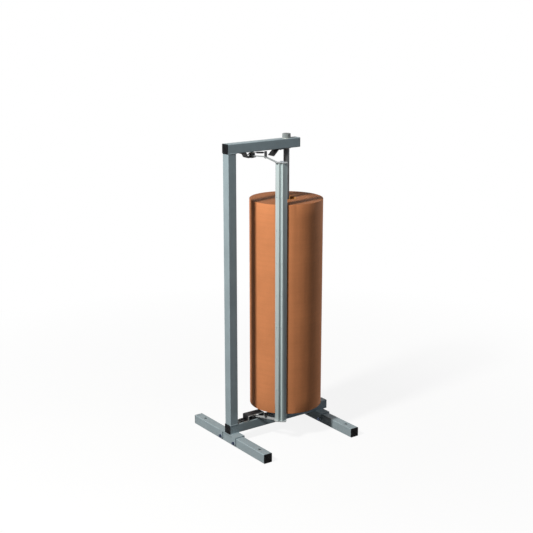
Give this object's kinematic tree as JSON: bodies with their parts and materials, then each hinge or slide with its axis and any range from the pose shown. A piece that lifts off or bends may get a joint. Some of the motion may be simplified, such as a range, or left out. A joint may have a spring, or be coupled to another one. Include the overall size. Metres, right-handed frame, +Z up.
{
  "type": "vertical wrapping paper roll cutter",
  "caption": "Floor-standing upright roll cutter: square-tube frame, ball-bearing turntable, lift-out spindle, and a sprung ridged cutter bar that swings on two arms against the paper roll",
  "frame": {"origin": "On the floor at the centre of the floor anchor holes, midway between the two feet and on the centre line of the base beam.", "axes": "+X runs along the base beam from the post to the roll, +Y to the rear ends of the feet, +Z up."},
  "size_m": [0.5376, 0.535, 1.3117],
  "materials": {
    "tube_steel": "satin silver-grey powder coat, fine texture",
    "bracket_black": "satin black powder coat",
    "plug_black": "matt moulded black",
    "zinc": "bright zinc plate",
    "arm_zinc": "zinc-plated strip",
    "rail_steel": "satin mill finish",
    "blade_steel": "ground spring steel",
    "spring_steel": "oiled spring wire",
    "nylon": "natural nylon",
    "bearing_steel": "polished",
    "cage_brass": "pressed brass",
    "cast_grey": "grey enamel",
    "hub_plastic": "moulded black",
    "spindle_steel": "drawn tube",
    "cardboard": "spiral-wound core board",
    "kraft": "smooth brown kraft paper"
  },
  "bodies": {
    "frame": {"left_foot": "tube_steel", "right_foot": "tube_steel", "base_beam": "tube_steel", "post": "tube_steel", "top_arm": "tube_steel", "left_foot_plugs": "plug_black", "right_foot_plugs": "plug_black", "beam_left_plug": "plug_black", "beam_right_plug": "plug_black", "arm_left_plug": "plug_black", "arm_right_plug": "plug_black", "left_saddle": "tube_steel", "right_saddle": "tube_steel", "saddle_bolts": "zinc", "saddle_washers": "zinc", "saddle_nuts": "zinc", "lower_hinge_bridge": "bracket_black", "upper_hinge_bracket": "bracket_black", "arm_stop": "bracket_black", "bridge_screws": "bracket_black", "bracket_screws": "bracket_black", "stop_screws": "bracket_black", "lower_hinge_pin": "zinc", "upper_hinge_pin": "zinc", "hinge_nuts": "zinc", "lower_spring_spool": "nylon", "upper_spring_spool": "nylon", "thrust_washers": "nylon", "turntable_pedestal": "cast_grey", "pedestal_bush": "nylon", "lower_race": "bearing_steel", "spindle_bushes": "nylon", "lower_spring": "spring_steel", "upper_spring": "spring_steel"},
    "cutter": {"lower_cutter_arm": "arm_zinc", "upper_cutter_arm": "arm_zinc", "arm_bushes": "nylon", "spring_studs": "zinc", "cutter_rail": "rail_steel", "blade_holder": "rail_steel", "cutting_blade": "blade_steel", "blade_screws": "zinc", "blade_nuts": "zinc", "rail_rivets": "rail_steel", "rail_end_blocks": "rail_steel", "pad_screws": "zinc"},
    "bearing_cage": {"ball_cage": "cage_brass", "bearing_balls": "bearing_steel"},
    "turntable": {"upper_race": "bearing_steel", "turntable_disc": "cast_grey", "core_hub": "hub_plastic", "hub_screws": "zinc"},
    "paper_roll": {"roll_core": "cardboard", "paper_roll": "kraft"},
    "spindle": {"spindle_tube": "spindle_steel", "spindle_foot_plug": "hub_plastic", "spindle_top_plug": "hub_plastic", "spindle_collar": "spindle_steel", "collar_set_screw": "spring_steel"}
  },
  "joints": [
    {"name": "cutter_hinge", "type": "hinge", "parent": "frame", "child": "cutter", "pos_m": [-0.1225, 0, 1.2], "axis": [0, 0, 1], "range_deg": [-70, 0], "stiffness_Nm_per_rad": 4, "springref_deg": 28.65, "deforming": ["lower_spring", "upper_spring"]},
    {"name": "turntable_spin", "type": "hinge", "parent": "frame", "child": "turntable", "pos_m": [0.0545, 0, 0.12], "axis": [0, 0, 1], "continuous": true},
    {"name": "cage_spin", "type": "hinge", "parent": "frame", "child": "bearing_cage", "pos_m": [0.0545, 0, 0.1134], "axis": [0, 0, 1], "continuous": true},
    {"name": "roll_lift", "type": "slide", "parent": "turntable", "child": "paper_roll", "axis": [0, 0, 1], "range_m": [0, 0.05]},
    {"name": "spindle_lift", "type": "slide", "parent": "frame", "child": "spindle", "axis": [0, 0, 1], "range_m": [0, 1]}
  ],
  "couplings": [
    {"joint": "cage_spin", "follows": "turntable_spin", "ratio": 0.5}
  ]
}
